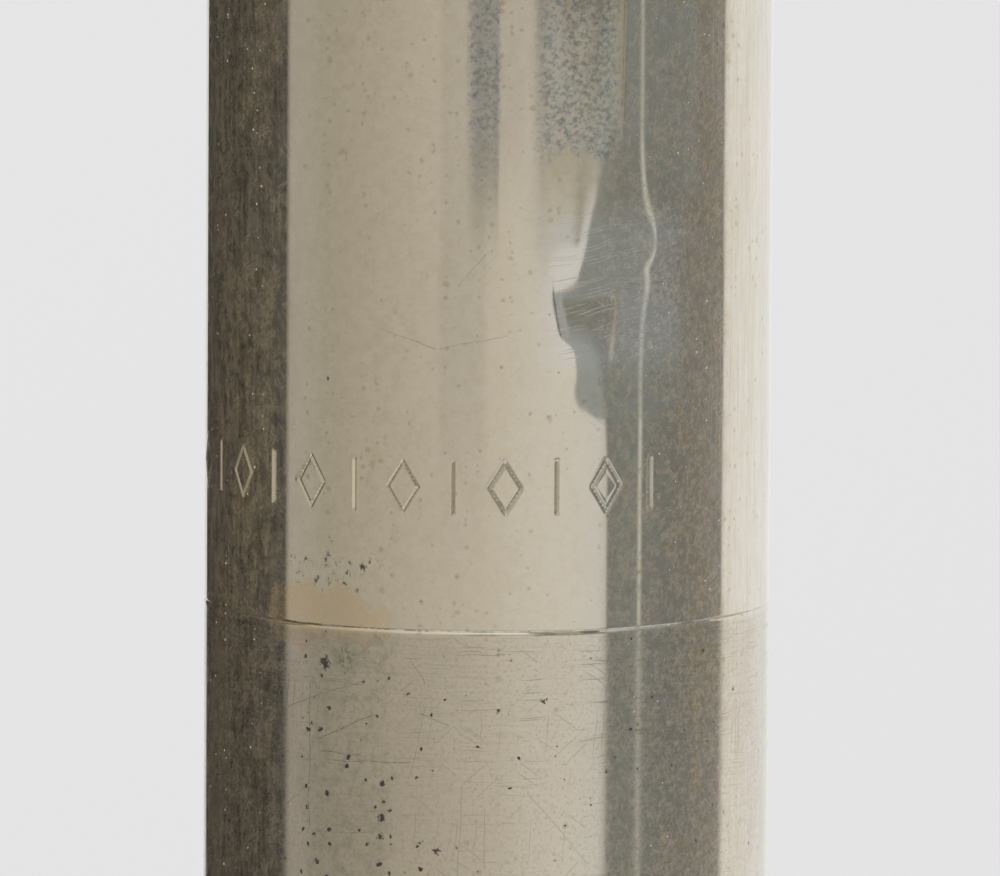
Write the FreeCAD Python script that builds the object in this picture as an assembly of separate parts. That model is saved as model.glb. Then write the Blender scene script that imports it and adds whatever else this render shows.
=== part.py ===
"""Quill handlebar stem in solid silver, built from tube and lugs, in millimetres.

The frame: the origin is the centre of the quill tube's lower end, +Z runs up the quill's axis, -Y is
forward (the way the extension points) and X is the handlebar's axis. An azimuth on the quill is counted
from -Y, positive towards +X.
"""

import math
import os

import FreeCAD, Part
from FreeCAD import Vector

# Driving dimensions
QUILL_R = 11.1  # a 7/8 inch quill
TUBE_WALL = 1.8
BAR_R = 12.7  # a 1 inch handlebar sleeve
REACH = 80.0  # quill axis to handlebar axis, square to the quill
DROP_ANGLE = 17.0  # extension below the square, in degrees
INSERTION_DEPTH = 72.0  # quill's lower end to the scribed insertion ring
EXTENSION_RISE = 50.0  # insertion ring to where the extension's axis meets the quill's
QUILL_LENGTH = 138.0

# Lugs
COLLAR_R = 13.6
SOCKET_R = 13.1  # a little under the collar's, so that the two blend
COLLAR_BOTTOM = INSERTION_DEPTH + 31.0
SEAT_R = 10.9  # the quill is turned down to this inside the collar, and its shoulder meets the lug
HEAD_SOCKET_REACH = 33.0  # along the extension, from the quill's axis
CLAMP_SOCKET_REACH = 30.5  # along the extension, from the handlebar's axis
BEAD_R = 0.95  # half-round bead turned on each lug mouth
LUG_FILLET = 6.0
PIN_R = 1.1  # pegs that hold tube and lug together for soldering
PIN_INSET = 6.0  # from the lug's mouth to its pins

# Handlebar clamp
BARREL_R = 16.0
BARREL_LENGTH = 42.0
TUBE_STOP_R = 15.0  # the extension tube is coped this far from the handlebar's axis
EAR_WIDTH = 19.0
EAR_THICKNESS = 17.0  # both ears and the slit between them
SLIT = 2.4
BINDER_REACH = 23.5  # handlebar axis to binder bolt axis
EAR_FILLET = 2.0
EAR_EDGE_R = 1.2
BORE_CHAMFER = 0.5  # at both ends of the handlebar's bore

# Fasteners, all with an 8 mm thread of 1.25 mm pitch
BOLT_R = 3.95
THREADED_BORE_R = 4.02
CLEARANCE_BORE_R = 4.25
WASHER_R = 7.4
WASHER_T = 1.4
WASHER_BORE_R = 4.2
NUT_ACROSS_FLATS = 13.0
NUT_HEIGHT = 6.5
BINDER_HEAD_R = 7.6
BINDER_HEAD_HEIGHT = 5.0
BINDER_TAIL = 5.0  # thread showing past the nut
PEG_R = 1.1  # the peg under the binder's head that stops it turning
PEG_OFFSET = 5.4
PEG_DEPTH = 2.2
EXPANDER_HEAD_FLATS = 14.0
EXPANDER_HEAD_HEIGHT = 7.0

# Expander at the quill's foot
MOUTH_R = 10.6
MOUTH_DEPTH = 11.0
SLOT_WIDTH = 2.6
SLOT_LENGTH = 34.0
SLOT_COUNT = 4
SLOT_END_R = 2.1
FOOT_CHAMFER = 0.3
CONE_GAP = 0.15
CONE_FOOT_R = 10.9
CONE_BOTTOM = -9.5
CONE_TOP = 14.0
KEY_R = 1.15
KEY_HEIGHT = 7.5
KEY_TIP_R = 10.9

# Plug that closes the quill's top
PLUG_DEPTH = 12.0
PLUG_RIM_R = 14.3
PLUG_RIM_CHAMFER = 0.3
PLUG_DOME_HEIGHT = 4.4
PLUG_SEAT_R = 7.9
PLUG_SEAT_DEPTH = 0.5

# Scribed and punched marks
RING_HALF_WIDTH = 0.11
RING_DEPTH = 0.09
MARK_DEPTH = 0.08
MARK_HALF_WIDTH = 0.07
MARK_LIFT = 0.04  # how far the cutters stand proud of the tube
MARK_HEIGHT = 1.95
MARK_ABOVE_RING = 4.65
MARK_COUNT = 12
MARK_FIRST_AZIMUTH = -115.0
MARK_PITCH = 10.4
LOZENGE_HALF_WIDTH = 0.62

UP = Vector(0, 0, 1)
SIDE = Vector(1, 0, 0)
QUILL_BORE_R = QUILL_R - TUBE_WALL
SLOPE = math.radians(DROP_ANGLE)
ALONG = Vector(0, -math.cos(SLOPE), -math.sin(SLOPE))  # down the extension
EXTENSION_LENGTH = REACH / math.cos(SLOPE)
ROOT = Vector(0, 0, INSERTION_DEPTH + EXTENSION_RISE)
BAR_CENTRE = ROOT + ALONG * EXTENSION_LENGTH
BINDER_AXIS = BAR_CENTRE + Vector(0, -BINDER_REACH, 0)
EAR_TOP = BAR_CENTRE.z + EAR_THICKNESS / 2
EAR_BOTTOM = BAR_CENTRE.z - EAR_THICKNESS / 2
SEAT_HEIGHT = QUILL_LENGTH + PLUG_DOME_HEIGHT - PLUG_SEAT_DEPTH
THROUGH = 200.0  # longer than anything it cuts


def turned(outline, centre=Vector(0, 0, 0)):
    """A solid turned about the vertical through centre. The outline is closed and holds (radius, height)
    points; an entry of two points is an arc through the first to the second."""
    edges, here = [], outline[0]
    for entry in list(outline[1:]) + [outline[0]]:
        if isinstance(entry[0], tuple):
            through, there = entry
            points = [Vector(r, 0, z) for r, z in (here, through, there)]
            edges.append(Part.Arc(*points).toShape())
        else:
            there = entry
            edges.append(Part.makeLine(Vector(here[0], 0, here[1]), Vector(there[0], 0, there[1])))
        here = there
    solid = Part.Face(Part.Wire(edges)).revolve(Vector(0, 0, 0), UP, 360)
    solid.translate(centre)
    return solid


def dome(radius, low, high):
    """The outline entry of a ball-shaped cap, from a rim at (radius, low) up to (0, high) on the axis."""
    centre = (high**2 - low**2 - radius**2) / (2 * (high - low))
    half = math.atan2(radius, low - centre) / 2
    ball = high - centre
    return ((ball * math.sin(half), centre + ball * math.cos(half)), (0, high))


def rod(radius, start, direction, length):
    return Part.makeCylinder(radius, length, start, direction)


def hexagon(flats, height, centre):
    """A hexagonal prism standing on centre, with a pair of flats square to Y."""
    corner = flats / math.sqrt(3)
    points = [
        centre + Vector(corner * math.cos(k * math.pi / 3), corner * math.sin(k * math.pi / 3), 0)
        for k in range(7)
    ]
    return Part.Face(Part.makePolygon(points)).extrude(UP * height)


def chamfered_hexagon(flats, height, centre, chamfer_below=True, crown=0.0):
    """A hexagon with its corners turned off at 30 degrees, as a nut or a bolt head has them."""
    corner, face = flats / math.sqrt(3), flats / 2 * 0.95
    drop = (corner - face) * math.tan(math.radians(30))
    outline = [(0, 0), (face, 0), (corner, drop)] if chamfer_below else [(0, 0), (corner, 0)]
    outline += [(corner, height - drop), (face, height)]
    outline.append(dome(face, height, height + crown) if crown else (0, height))
    return hexagon(flats, height + crown, centre).common(turned(outline, centre))


def bead(position, direction, radius):
    """A half-round ring on a lug's mouth."""
    return Part.makeTorus(radius, BEAD_R, position, direction)


def outer_edges_between(solid, first, second):
    """The edges where two outside surfaces of a lug meet, found by lying on both of them."""
    found = []
    for edge in solid.Edges:
        points = [Part.Vertex(p) for p in edge.discretize(5)]
        if all(p.distToShape(s)[0] < 1e-3 for p in points for s in (first, second)):
            found.append(edge)
    return found


def washer(centre_below):
    ring = rod(WASHER_R, centre_below, UP, WASHER_T)
    ring = ring.makeChamfer(0.25, [e for e in ring.Edges if len(e.Vertexes) == 1 and e.Closed])
    return ring.cut(rod(WASHER_BORE_R, centre_below - UP, UP, WASHER_T + 2))


# Shared cutting volumes
seat_volume = rod(SEAT_R, Vector(0, 0, -THROUGH), UP, 2 * THROUGH)
extension_volume = rod(QUILL_R, ROOT, ALONG, EXTENSION_LENGTH)
bar_stop_volume = rod(TUBE_STOP_R, BAR_CENTRE - SIDE * THROUGH, SIDE, 2 * THROUGH)


def mark_cutter(azimuth, height, direction, length):
    """A V-shaped chisel mark on the quill, centred at an azimuth and height. direction is (across, up)."""
    angle = math.radians(azimuth)
    outward = Vector(math.sin(angle), -math.cos(angle), 0)
    across = Vector(math.cos(angle), math.sin(angle), 0)
    run = (across * direction[0] + UP * direction[1]).normalize()
    flank = outward.cross(run)
    spread = MARK_HALF_WIDTH * (MARK_DEPTH + MARK_LIFT) / MARK_DEPTH
    start = outward * QUILL_R + UP * height - run * (length / 2)
    corners = [
        start - outward * MARK_DEPTH,
        start + outward * MARK_LIFT + flank * spread,
        start + outward * MARK_LIFT - flank * spread,
    ]
    return Part.Face(Part.makePolygon(corners + corners[:1])).extrude(run * length)


def punched_row():
    """Cutters for a row of upright strokes and lozenges, in turn."""
    middle = INSERTION_DEPTH + MARK_ABOVE_RING + MARK_HEIGHT / 2
    quarter, half_turn = MARK_HEIGHT / 4, math.degrees(LOZENGE_HALF_WIDTH / 2 / QUILL_R)
    side_length = math.hypot(MARK_HEIGHT / 2, LOZENGE_HALF_WIDTH)
    cutters = []
    for k in range(MARK_COUNT):
        azimuth = MARK_FIRST_AZIMUTH + k * MARK_PITCH
        if k % 2:
            cutters.append(mark_cutter(azimuth, middle, (0, 1), MARK_HEIGHT))
            continue
        for across in (-1, 1):
            for up in (-1, 1):
                slant = (-across * up * LOZENGE_HALF_WIDTH, MARK_HEIGHT / 2)
                cutters.append(
                    mark_cutter(azimuth + across * half_turn, middle + up * quarter, slant, side_length)
                )
    return cutters


def quill_tube():
    tube = turned(
        [
            (MOUTH_R, 0),
            (QUILL_R - FOOT_CHAMFER, 0),
            (QUILL_R, FOOT_CHAMFER),
            (QUILL_R, COLLAR_BOTTOM),
            (SEAT_R, COLLAR_BOTTOM),
            (SEAT_R, QUILL_LENGTH),
            (QUILL_BORE_R, QUILL_LENGTH),
            (QUILL_BORE_R, MOUTH_DEPTH),
        ]
    )
    tube.rotate(Vector(0, 0, 0), UP, 180.0 / SLOT_COUNT)  # its seam lies between two slots
    for k in range(SLOT_COUNT):
        turn = 360.0 / SLOT_COUNT * k
        slot = Part.makeBox(QUILL_R + 2, SLOT_WIDTH, SLOT_LENGTH + 1, Vector(0, -SLOT_WIDTH / 2, -1))
        end = rod(SLOT_END_R, Vector(0, 0, SLOT_LENGTH), SIDE, QUILL_R + 2)
        for cutter in (slot, end):
            cutter.rotate(Vector(0, 0, 0), UP, turn)
            tube = tube.cut(cutter)
    ring = turned(
        [
            (QUILL_R + MARK_LIFT, INSERTION_DEPTH - RING_HALF_WIDTH),
            (QUILL_R + MARK_LIFT, INSERTION_DEPTH + RING_HALF_WIDTH),
            (QUILL_R - RING_DEPTH, INSERTION_DEPTH),
        ]
    )
    tube = tube.cut(ring)
    tube = tube.cut(punched_row())
    return tube.cut(head_pin_rods())


def head_lug_body():
    """The head lug's outside, before any bore."""
    collar = rod(COLLAR_R, Vector(0, 0, COLLAR_BOTTOM), UP, QUILL_LENGTH - COLLAR_BOTTOM)
    socket = rod(SOCKET_R, ROOT, ALONG, HEAD_SOCKET_REACH)
    body = collar.fuse(socket).removeSplitter()
    body = body.makeFillet(LUG_FILLET, outer_edges_between(body, collar.Faces[0], socket.Faces[0]))
    rims = [
        bead(Vector(0, 0, COLLAR_BOTTOM + BEAD_R), UP, COLLAR_R),
        bead(ROOT + ALONG * (HEAD_SOCKET_REACH - BEAD_R), ALONG, SOCKET_R),
    ]
    return body.fuse(rims)


def head_lug():
    cutters = [seat_volume, extension_volume, *head_pin_rods(), *extension_rear_pin_rods()]
    return head_lug_body().cut(cutters)


def ear_block():
    """Both ears in one, round-nosed, with their upper and lower edges eased, before the slit parts them."""
    block = Part.makeBox(EAR_WIDTH, BINDER_REACH, EAR_THICKNESS)
    block.translate(Vector(-EAR_WIDTH / 2, BINDER_AXIS.y, EAR_BOTTOM))
    nose = rod(EAR_WIDTH / 2, Vector(0, BINDER_AXIS.y, EAR_BOTTOM), UP, EAR_THICKNESS)
    block = block.fuse(nose).removeSplitter()
    level = [e for e in block.Edges if e.BoundBox.ZLength < 1e-6 and e.BoundBox.YMin < BAR_CENTRE.y - 1]
    return block.makeFillet(EAR_EDGE_R, level)


def clamp_body():
    """The handlebar clamp's outside: barrel, socket and ears in one, before any bore."""
    barrel = rod(BARREL_R, BAR_CENTRE - SIDE * BARREL_LENGTH / 2, SIDE, BARREL_LENGTH)
    mouth = BAR_CENTRE - ALONG * CLAMP_SOCKET_REACH
    socket = rod(SOCKET_R, mouth, ALONG, CLAMP_SOCKET_REACH)
    body = barrel.fuse(socket).removeSplitter()
    body = body.makeFillet(LUG_FILLET, outer_edges_between(body, barrel.Faces[0], socket.Faces[0]))
    ears = ear_block()
    whole = body.fuse(ears).removeSplitter()
    joints = outer_edges_between(whole, barrel.Faces[0], ears)
    whole = whole.makeFillet(EAR_FILLET, joints)
    rims = [bead(mouth + ALONG * BEAD_R, ALONG, SOCKET_R)]
    for end in (-1, 1):
        place = BAR_CENTRE + SIDE * end * (BARREL_LENGTH / 2 - BEAD_R)
        rims.append(bead(place, SIDE, BARREL_R - 0.2))
    return whole.fuse(rims)


def bore_mouth(end):
    """The chamfer at one end of the handlebar's bore. end is -1 or 1."""
    edge = BAR_CENTRE + SIDE * end * BARREL_LENGTH / 2
    return Part.makeCone(BAR_R + BORE_CHAMFER, BAR_R, BORE_CHAMFER, edge, SIDE * -end)


def bar_clamp():
    body = clamp_body()
    bore = rod(BAR_R, BAR_CENTRE - SIDE * THROUGH, SIDE, 2 * THROUGH)
    mouths = [bore_mouth(end) for end in (-1, 1)]
    slit = Part.makeBox(2 * BARREL_LENGTH, 2 * BINDER_REACH, SLIT)
    slit.translate(Vector(-BARREL_LENGTH, BAR_CENTRE.y - 2 * BINDER_REACH, BAR_CENTRE.z - SLIT / 2))
    bolt_hole = rod(CLEARANCE_BORE_R, Vector(0, BINDER_AXIS.y, EAR_BOTTOM - 5), UP, EAR_THICKNESS + 10)
    notch = rod(PEG_R + 0.1, binder_peg_foot() - UP * 0.3, UP, PEG_DEPTH + 5)
    tube_seat = extension_volume.cut(bar_stop_volume)
    return body.cut([bore, *mouths, slit, bolt_hole, notch, tube_seat, *extension_front_pin_rods()])


def extension_tube():
    inner = rod(QUILL_R - TUBE_WALL, ROOT - ALONG, ALONG, EXTENSION_LENGTH + 2)
    tube = extension_volume.cut(inner)
    tube = tube.cut([seat_volume, bar_stop_volume])
    pins = extension_rear_pin_rods() + extension_front_pin_rods()
    return tube.cut(pins)


def pin_rods(centre):
    """Two rods out to either side of a tube's axis, from its bore to beyond the lug."""
    inside = QUILL_R - TUBE_WALL
    return [rod(PIN_R, centre + SIDE * s * inside, SIDE * s, COLLAR_R) for s in (-1, 1)]


def head_pin_rods():
    return pin_rods(Vector(0, 0, COLLAR_BOTTOM + PIN_INSET))


def extension_rear_pin_rods():
    return pin_rods(ROOT + ALONG * (HEAD_SOCKET_REACH - PIN_INSET))


def extension_front_pin_rods():
    return pin_rods(BAR_CENTRE - ALONG * (CLAMP_SOCKET_REACH - PIN_INSET))


def pins(rods, lug_outside, bore_start, bore_direction):
    """The pegs themselves, filed flush with the lug and with the tube's bore."""
    bore = rod(QUILL_R - TUBE_WALL, bore_start, bore_direction, THROUGH)
    return Part.makeCompound([r.common(lug_outside).cut(bore) for r in rods])


def head_plug():
    """Closes the quill's top: a spigot soldered inside the tube, under a domed cap over the lug."""
    top = QUILL_LENGTH
    outline = [
        (CLEARANCE_BORE_R, top - PLUG_DEPTH),
        (QUILL_BORE_R, top - PLUG_DEPTH),
        (QUILL_BORE_R, top),
        (PLUG_RIM_R - PLUG_RIM_CHAMFER, top),
        (PLUG_RIM_R, top + PLUG_RIM_CHAMFER),
        (PLUG_RIM_R, top + 1.2),
        ((12.6, top + 3.3), (9.2, top + PLUG_DOME_HEIGHT)),
        (PLUG_SEAT_R, top + PLUG_DOME_HEIGHT),
        (PLUG_SEAT_R, SEAT_HEIGHT),
        (CLEARANCE_BORE_R, SEAT_HEIGHT),
    ]
    return turned(outline)


def expander_washer():
    return washer(Vector(0, 0, SEAT_HEIGHT))


def expander_bolt():
    under_head = SEAT_HEIGHT + WASHER_T
    tip = CONE_BOTTOM - 1.5
    shank = turned([(0, tip), (BOLT_R - 0.8, tip), (BOLT_R, tip + 0.8), (BOLT_R, under_head), (0, under_head)])
    head = chamfered_hexagon(
        EXPANDER_HEAD_FLATS, EXPANDER_HEAD_HEIGHT, Vector(0, 0, under_head), chamfer_below=False, crown=1.0
    )
    return shank.fuse(head).removeSplitter()


def mouth_radius(height):
    """The quill's tapered mouth, carried on below its edge."""
    return MOUTH_R - (MOUTH_R - QUILL_BORE_R) * height / MOUTH_DEPTH


def expander_cone():
    """The tapered plug that spreads the slotted quill. It stands a hair below wedging."""
    foot_height = (MOUTH_R - CONE_GAP - CONE_FOOT_R) * MOUTH_DEPTH / (MOUTH_R - QUILL_BORE_R)
    outline = [
        (THREADED_BORE_R, CONE_BOTTOM),
        (CONE_FOOT_R - 1.0, CONE_BOTTOM),
        (CONE_FOOT_R, CONE_BOTTOM + 1.0),
        (CONE_FOOT_R, foot_height),
        (mouth_radius(MOUTH_DEPTH) - CONE_GAP, MOUTH_DEPTH),
        (mouth_radius(MOUTH_DEPTH) - CONE_GAP, CONE_TOP - 0.8),
        (mouth_radius(MOUTH_DEPTH) - CONE_GAP - 0.8, CONE_TOP),
        (THREADED_BORE_R, CONE_TOP),
    ]
    return turned(outline).cut(key_rods())


def key_rods():
    """Two pegs pressed into the cone's sides, which ride in a pair of the quill's slots."""
    seat = BOLT_R + 1.6
    place = Vector(0, 0, KEY_HEIGHT)
    return [rod(KEY_R, place + SIDE * s * seat, SIDE * s, KEY_TIP_R - seat) for s in (-1, 1)]


def binder_peg_foot():
    return Vector(0, BINDER_AXIS.y - PEG_OFFSET, EAR_TOP - PEG_DEPTH)


def clamp_bolt():
    """A domed bolt whose peg sits in a notch in the upper ear, so that only its nut turns."""
    axis = Vector(0, BINDER_AXIS.y, 0)
    top = EAR_TOP + BINDER_HEAD_HEIGHT
    tip = EAR_BOTTOM - WASHER_T - NUT_HEIGHT - BINDER_TAIL
    outline = [
        (0, tip),
        (BOLT_R - 0.8, tip),
        (BOLT_R, tip + 0.8),
        (BOLT_R, EAR_TOP),
        (BINDER_HEAD_R - 0.4, EAR_TOP),
        (BINDER_HEAD_R, EAR_TOP + 0.4),
        (BINDER_HEAD_R, EAR_TOP + 1.6),
        dome(BINDER_HEAD_R, EAR_TOP + 1.6, top),
    ]
    peg = rod(PEG_R, binder_peg_foot(), UP, PEG_DEPTH + 1.0)
    return turned(outline, axis).fuse(peg)


def clamp_washer():
    return washer(Vector(0, BINDER_AXIS.y, EAR_BOTTOM - WASHER_T))


def clamp_nut():
    foot = Vector(0, BINDER_AXIS.y, EAR_BOTTOM - WASHER_T - NUT_HEIGHT)
    nut = chamfered_hexagon(NUT_ACROSS_FLATS, NUT_HEIGHT, foot)
    bore = turned(
        [
            (0, -1),
            (THREADED_BORE_R + 1.6, -1),
            (THREADED_BORE_R, 0.6),
            (THREADED_BORE_R, NUT_HEIGHT - 0.6),
            (THREADED_BORE_R + 1.6, NUT_HEIGHT + 1),
            (0, NUT_HEIGHT + 1),
        ],
        foot,
    )
    return nut.cut(bore)


def main():
    head_outside, clamp_outside = head_lug_body(), clamp_body()
    parts = {
        "quill_tube": quill_tube(),
        "head_lug": head_lug(),
        "head_plug": head_plug(),
        "extension_tube": extension_tube(),
        "bar_clamp": bar_clamp(),
        "quill_pins": pins(head_pin_rods(), head_outside, Vector(0, 0, 0), UP),
        "extension_rear_pins": pins(extension_rear_pin_rods(), head_outside, ROOT, ALONG),
        "extension_front_pins": pins(extension_front_pin_rods(), clamp_outside, ROOT, ALONG),
        "expander_bolt": expander_bolt(),
        "expander_washer": expander_washer(),
        "expander_cone": expander_cone(),
        "cone_keys": Part.makeCompound(key_rods()),
        "clamp_bolt": clamp_bolt(),
        "clamp_washer": clamp_washer(),
        "clamp_nut": clamp_nut(),
    }
    os.makedirs("parts", exist_ok=True)
    for name, shape in parts.items():
        solids = shape.Solids
        print(f"{name}: {len(solids)} solid(s), {shape.Volume / 1000:.3f} cm3, valid {shape.isValid()}")
        shape.exportStep(f"parts/{name}.step")


main()
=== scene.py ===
import math

import bpy
import numpy as np
from mathutils import Matrix, Vector


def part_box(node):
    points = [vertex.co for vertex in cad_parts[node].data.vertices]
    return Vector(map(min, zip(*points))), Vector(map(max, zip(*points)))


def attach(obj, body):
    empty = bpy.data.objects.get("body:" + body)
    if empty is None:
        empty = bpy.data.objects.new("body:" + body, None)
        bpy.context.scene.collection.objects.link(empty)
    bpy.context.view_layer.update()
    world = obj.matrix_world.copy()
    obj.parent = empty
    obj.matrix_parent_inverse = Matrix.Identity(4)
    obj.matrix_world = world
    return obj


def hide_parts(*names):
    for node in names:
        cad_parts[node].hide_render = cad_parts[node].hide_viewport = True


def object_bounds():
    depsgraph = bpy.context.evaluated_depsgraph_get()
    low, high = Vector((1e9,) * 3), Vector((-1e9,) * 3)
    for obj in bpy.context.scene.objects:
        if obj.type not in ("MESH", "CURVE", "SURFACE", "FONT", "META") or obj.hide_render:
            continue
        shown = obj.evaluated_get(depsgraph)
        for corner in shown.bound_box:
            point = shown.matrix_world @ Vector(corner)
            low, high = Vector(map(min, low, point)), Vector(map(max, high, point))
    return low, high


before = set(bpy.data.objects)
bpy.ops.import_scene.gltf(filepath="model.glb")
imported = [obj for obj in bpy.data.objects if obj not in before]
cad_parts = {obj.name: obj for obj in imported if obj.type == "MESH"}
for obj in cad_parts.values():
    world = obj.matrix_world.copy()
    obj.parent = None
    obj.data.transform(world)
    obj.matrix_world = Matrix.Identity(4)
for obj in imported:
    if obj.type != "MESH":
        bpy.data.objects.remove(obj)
cad_low, cad_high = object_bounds()

# The frame: metres, +Z up the quill's axis, -Y forward, X along the handlebar. Lengths below are in
# millimetres and angles in degrees, unless a name says otherwise. An azimuth is counted from -Y,
# positive towards +X.
MM = 0.001


def box_mm(node):
    low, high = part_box(node)
    return low / MM, high / MM


FLOOR = cad_low.z / MM

# The quill
QUILL_R = box_mm("quill_tube")[1].x
QUILL_LENGTH = box_mm("quill_tube")[1].z
BORE_R = 9.3
MOUTH_R = 10.6
MOUTH_DEPTH = 11.0
FOOT_CHAMFER = 0.3
COLLAR_BOTTOM = 103.0
SEAT_R = 10.9
SKIN = 0.004  # the mesh lies this far inside the tube's size, so that its wander stays in the box
RING_HEIGHT = 72.0
RING_DEPTH = 0.045
RING_HALF_WIDTH = 0.08
RING_ROWS = (0.02, 0.05, 0.085, 0.12, 0.17, 0.28, 0.5)  # above its middle, and the same below

# The slots at the quill's foot
SLOT_COUNT = 4
SLOT_HALF_WIDTH = 1.3
SLOT_END_R = 2.1
SLOT_END_HEIGHT = 34.0
SLOT_EDGE = 0.14
SLOT_NECK = 31.9  # where a slot's side stops in the mesh and its round end starts
SLOT_WINDOW_HALF_ANGLE = 24.0
SLOT_WINDOW_TOP = 39.0

# The row of punched marks above the ring
MARK_COUNT = 12
MARK_FIRST_AZIMUTH = -115.0
MARK_PITCH = 10.4
MARK_HEIGHT = 1.95
MARK_ABOVE_RING = 4.65
MARK_DEPTH = 0.075
MARK_HALF_WIDTH = 0.075
LOZENGE_HALF_WIDTH = 0.62
MARK_MIDDLE = RING_HEIGHT + MARK_ABOVE_RING + MARK_HEIGHT / 2
MARK_BELT = 1.25  # half the height of the finely meshed belt
MARK_REACH = 4.0

# The side of the quill that carries the most wear. Arc lengths are counted from this line, to the right.
WORN_AZIMUTH = -35.5

# The dent, level by level: a height; how far right of the worn line its crisp left edge is, and how far
# the face just inside is turned; where it is deepest; and how far the face beyond is turned, at two places
DENT = [
    (78.2, 14.0, 0.0, 30.0, 0.0, 0.0),
    (79.6, 14.0, 0.7, 30.0, -0.1, -0.4),
    (80.6, 14.0, 1.7, 30.0, -0.2, -0.9),
    (81.6, 14.2, 3.5, 30.0, -0.4, -1.9),
    (83.3, 16.2, 9.5, 25.7, -0.9, -3.5),
    (84.4, 14.9, 10.8, 25.7, -1.6, -4.0),
    (85.5, 13.9, 11.8, 25.9, -3.0, -4.2),
    (86.5, 19.8, 6.5, 27.5, -4.0, -0.4),
    (87.4, 20.9, 7.0, 30.0, -4.3, -1.1),
    (88.2, 21.8, 5.0, 29.0, -2.8, -0.5),
    (89.1, 22.9, 3.5, 28.0, -1.2, -0.4),
    (90.9, 24.6, 0.8, 27.0, -0.1, -0.1),
    (92.0, 25.0, 0.0, 27.0, 0.0, 0.0),
]
DENT_SIDES = np.arange(8.0, 58.1, 0.5)

# The extension and its fittings
SLOPE = math.radians(17.0)
ALONG = Vector((0, -math.cos(SLOPE), -math.sin(SLOPE)))
ROOT = Vector((0, 0, 122.0))
BAR_CENTRE = ROOT + ALONG * 80.0 / math.cos(SLOPE)
HEAD_SOCKET_REACH = 33.0
CLAMP_SOCKET_REACH = 30.5
SOLDER_R = 0.5

# Bolts
BOLT_R = 3.95
THREAD_PITCH = 1.25
THREAD_DEPTH = 0.68
TIP_CHAMFER = 0.8
EXPANDER_FLATS = 14.0
EXPANDER_HEAD_HEIGHT = 7.0
EXPANDER_CROWN = 1.0
EXPANDER_THREAD = 38.0
BINDER_Y = BAR_CENTRE.y - 23.5
BINDER_HEAD_R = 7.6
BINDER_HEAD_HEIGHT = 5.0
BINDER_THREAD = 20.0
PEG_R = 1.1
PEG_OFFSET = 5.4
PEG_DEPTH = 2.2

# The camera
CAMERA_AZIMUTH = WORN_AZIMUTH
CAMERA_ELEVATION = 6.6
CAMERA_DISTANCE = 600.0
CAMERA_LENS = 550.0
CAMERA_ROLL = 0.33
TARGET_HEIGHT = 78.3
TARGET_RIGHT = 0.49


# ---- mesh helpers


def add_object(name, data):
    thing = bpy.data.objects.new(name, data)
    bpy.context.scene.collection.objects.link(thing)
    return thing


def add_mesh(name, points, faces):
    """A mesh object from points in millimetres."""
    mesh = bpy.data.meshes.new(name)
    mesh.from_pydata((np.array(points) * MM).tolist(), [], faces)
    return add_object(name, mesh)


def add_piece(name, points, faces, body, smooth_angle=35.0):
    """A smooth-shaded mesh riding on a body."""
    piece = add_mesh(name, points, faces)
    piece.data.validate()
    piece.data.shade_smooth()
    piece.data.set_sharp_from_angle(angle=math.radians(smooth_angle))
    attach(piece, body)
    return piece


def on_cylinder(radius, azimuth, height):
    turn = math.radians(azimuth)
    return (radius * math.sin(turn), -radius * math.cos(turn), height)


def revolved(rows, columns, y=0.0):
    """A closed surface about the vertical through (0, y). rows are (height, radius) from the bottom up,
    where the radius may be a function of the azimuths; a point on the axis closes either end."""
    azimuths = np.arange(columns) * 360.0 / columns
    points, faces = [], []
    for height, radius in rows:
        radii = radius(azimuths) if callable(radius) else radius
        for azimuth, r in zip(azimuths, np.broadcast_to(radii, columns)):
            px, py, pz = on_cylinder(r, azimuth, height)
            points.append((px, py + y, pz))
    bottom, top = len(points), len(points) + 1
    points += [(0, y, rows[0][0]), (0, y, rows[-1][0])]
    last = bottom - columns
    for low in range(0, last, columns):
        for i in range(columns):
            j = (i + 1) % columns
            faces.append((low + i, low + j, low + columns + j, low + columns + i))
    for i in range(columns):
        j = (i + 1) % columns
        faces += [(j, i, bottom), (last + i, last + j, top)]
    return points, faces


# ---- the quill


def segment_distance(x, z, start, end):
    run = np.array(end) - np.array(start)
    along = ((x - start[0]) * run[0] + (z - start[1]) * run[1]) / (run @ run)
    along = np.clip(along, 0, 1)
    return np.hypot(x - start[0] - along * run[0], z - start[1] - along * run[1])


def mark_distance(azimuth, height):
    """How far a place on the quill is from the nearest punched stroke."""
    nearest = np.full(np.broadcast(azimuth, height).shape, 9.0)
    half = MARK_HEIGHT / 2
    tips = [(0, -half), (LOZENGE_HALF_WIDTH, 0), (0, half), (-LOZENGE_HALF_WIDTH, 0)]
    lozenge = [(tips[i], tips[(i + 1) % 4]) for i in range(4)]
    upright = [((0, -half), (0, half))]
    for k in range(MARK_COUNT):
        x = np.radians(azimuth - MARK_FIRST_AZIMUTH - k * MARK_PITCH) * QUILL_R
        for stroke in upright if k % 2 else lozenge:
            nearest = np.minimum(nearest, segment_distance(x, height - MARK_MIDDLE, *stroke))
    return nearest


def punched(azimuth, height):
    """Depth of the marks: a V with a low raised lip on either side."""
    distance = mark_distance(azimuth, height)
    groove = np.clip(1 - distance / MARK_HALF_WIDTH, 0, 1)
    lip = np.exp(-(((distance - 1.5 * MARK_HALF_WIDTH) / (0.5 * MARK_HALF_WIDTH)) ** 2))
    return MARK_DEPTH * groove - 0.008 * lip


def ring_middle(azimuth):
    """The scribed ring wanders a few hundredths, as a line scribed by hand does."""
    turn = np.radians(azimuth)
    return RING_HEIGHT + 0.02 * np.sin(2 * turn + 1) + 0.012 * np.sin(7 * turn)


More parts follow.
